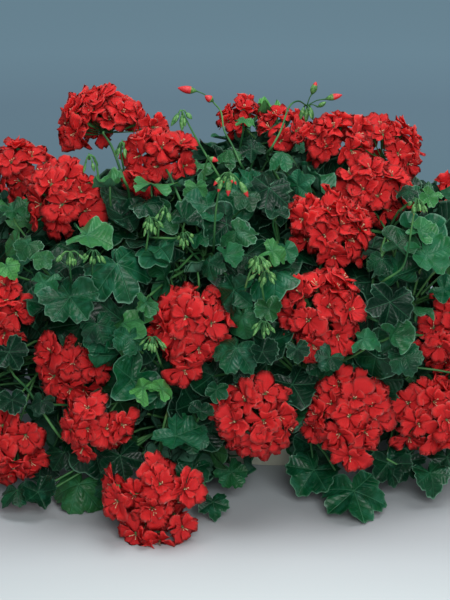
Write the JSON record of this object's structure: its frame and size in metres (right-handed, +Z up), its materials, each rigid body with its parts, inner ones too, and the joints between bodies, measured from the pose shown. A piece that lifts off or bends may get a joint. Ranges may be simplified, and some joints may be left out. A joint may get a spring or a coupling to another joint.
{
  "type": "potted ivy geranium",
  "caption": "Potted trailing ivy geranium in full scarlet flower: a round pot on its saucer, soil, a woody crown, leafy shoots that arch over the rim and domed flower heads.",
  "frame": {"origin": "middle of the saucer's flat underside, on the pot's axis", "axes": "+Z up, +X to the viewer's right, +Y away from the viewer"},
  "size_m": [0.6458, 0.5317, 0.3478],
  "materials": {
    "cream_plastic": "satin",
    "soil": "matte",
    "old_wood": "matte",
    "leaf": "satin",
    "stem": "satin",
    "petal": "matte",
    "bud": "satin",
    "stamen": "matte"
  },
  "bodies": {
    "root": {"saucer": "cream_plastic", "pot": "cream_plastic", "potting_soil": "soil", "woody_crown": "old_wood", "shoot_01": "leaf", "shoot_02": "leaf", "shoot_03": "leaf", "shoot_04": "leaf", "shoot_05": "leaf", "shoot_06": "leaf", "shoot_07": "leaf", "shoot_08": "leaf", "shoot_09": "leaf", "shoot_10": "leaf", "shoot_11": "leaf", "shoot_12": "leaf", "shoot_13": "leaf", "shoot_14": "leaf", "flower_head_01": "petal", "flower_head_02": "petal", "flower_head_03": "petal", "flower_head_04": "petal", "flower_head_05": "petal", "flower_head_06": "petal", "flower_head_07": "petal", "flower_head_08": "petal", "flower_head_09": "petal", "flower_head_10": "petal", "flower_head_11": "petal", "flower_head_12": "petal", "flower_head_13": "petal", "flower_head_14": "petal", "flower_head_15": "petal", "flower_head_16": "petal", "flower_head_17": "petal", "flower_head_18": "petal", "flower_head_19": "petal", "flower_head_20": "petal", "flower_head_21": "petal", "flower_head_22": "petal", "flower_head_23": "petal", "flower_head_24": "petal", "flower_head_25": "petal", "flower_head_26": "petal", "flower_head_27": "petal", "flower_head_28": "petal", "flower_head_29": "petal", "flower_head_30": "petal", "flower_head_31": "petal", "flower_head_32": "petal", "flower_head_33": "petal", "flower_head_34": "petal", "flower_head_35": "petal", "flower_head_36": "petal", "flower_head_37": "petal", "flower_head_38": "petal", "flower_head_39": "petal"}
  },
  "joints": []
}
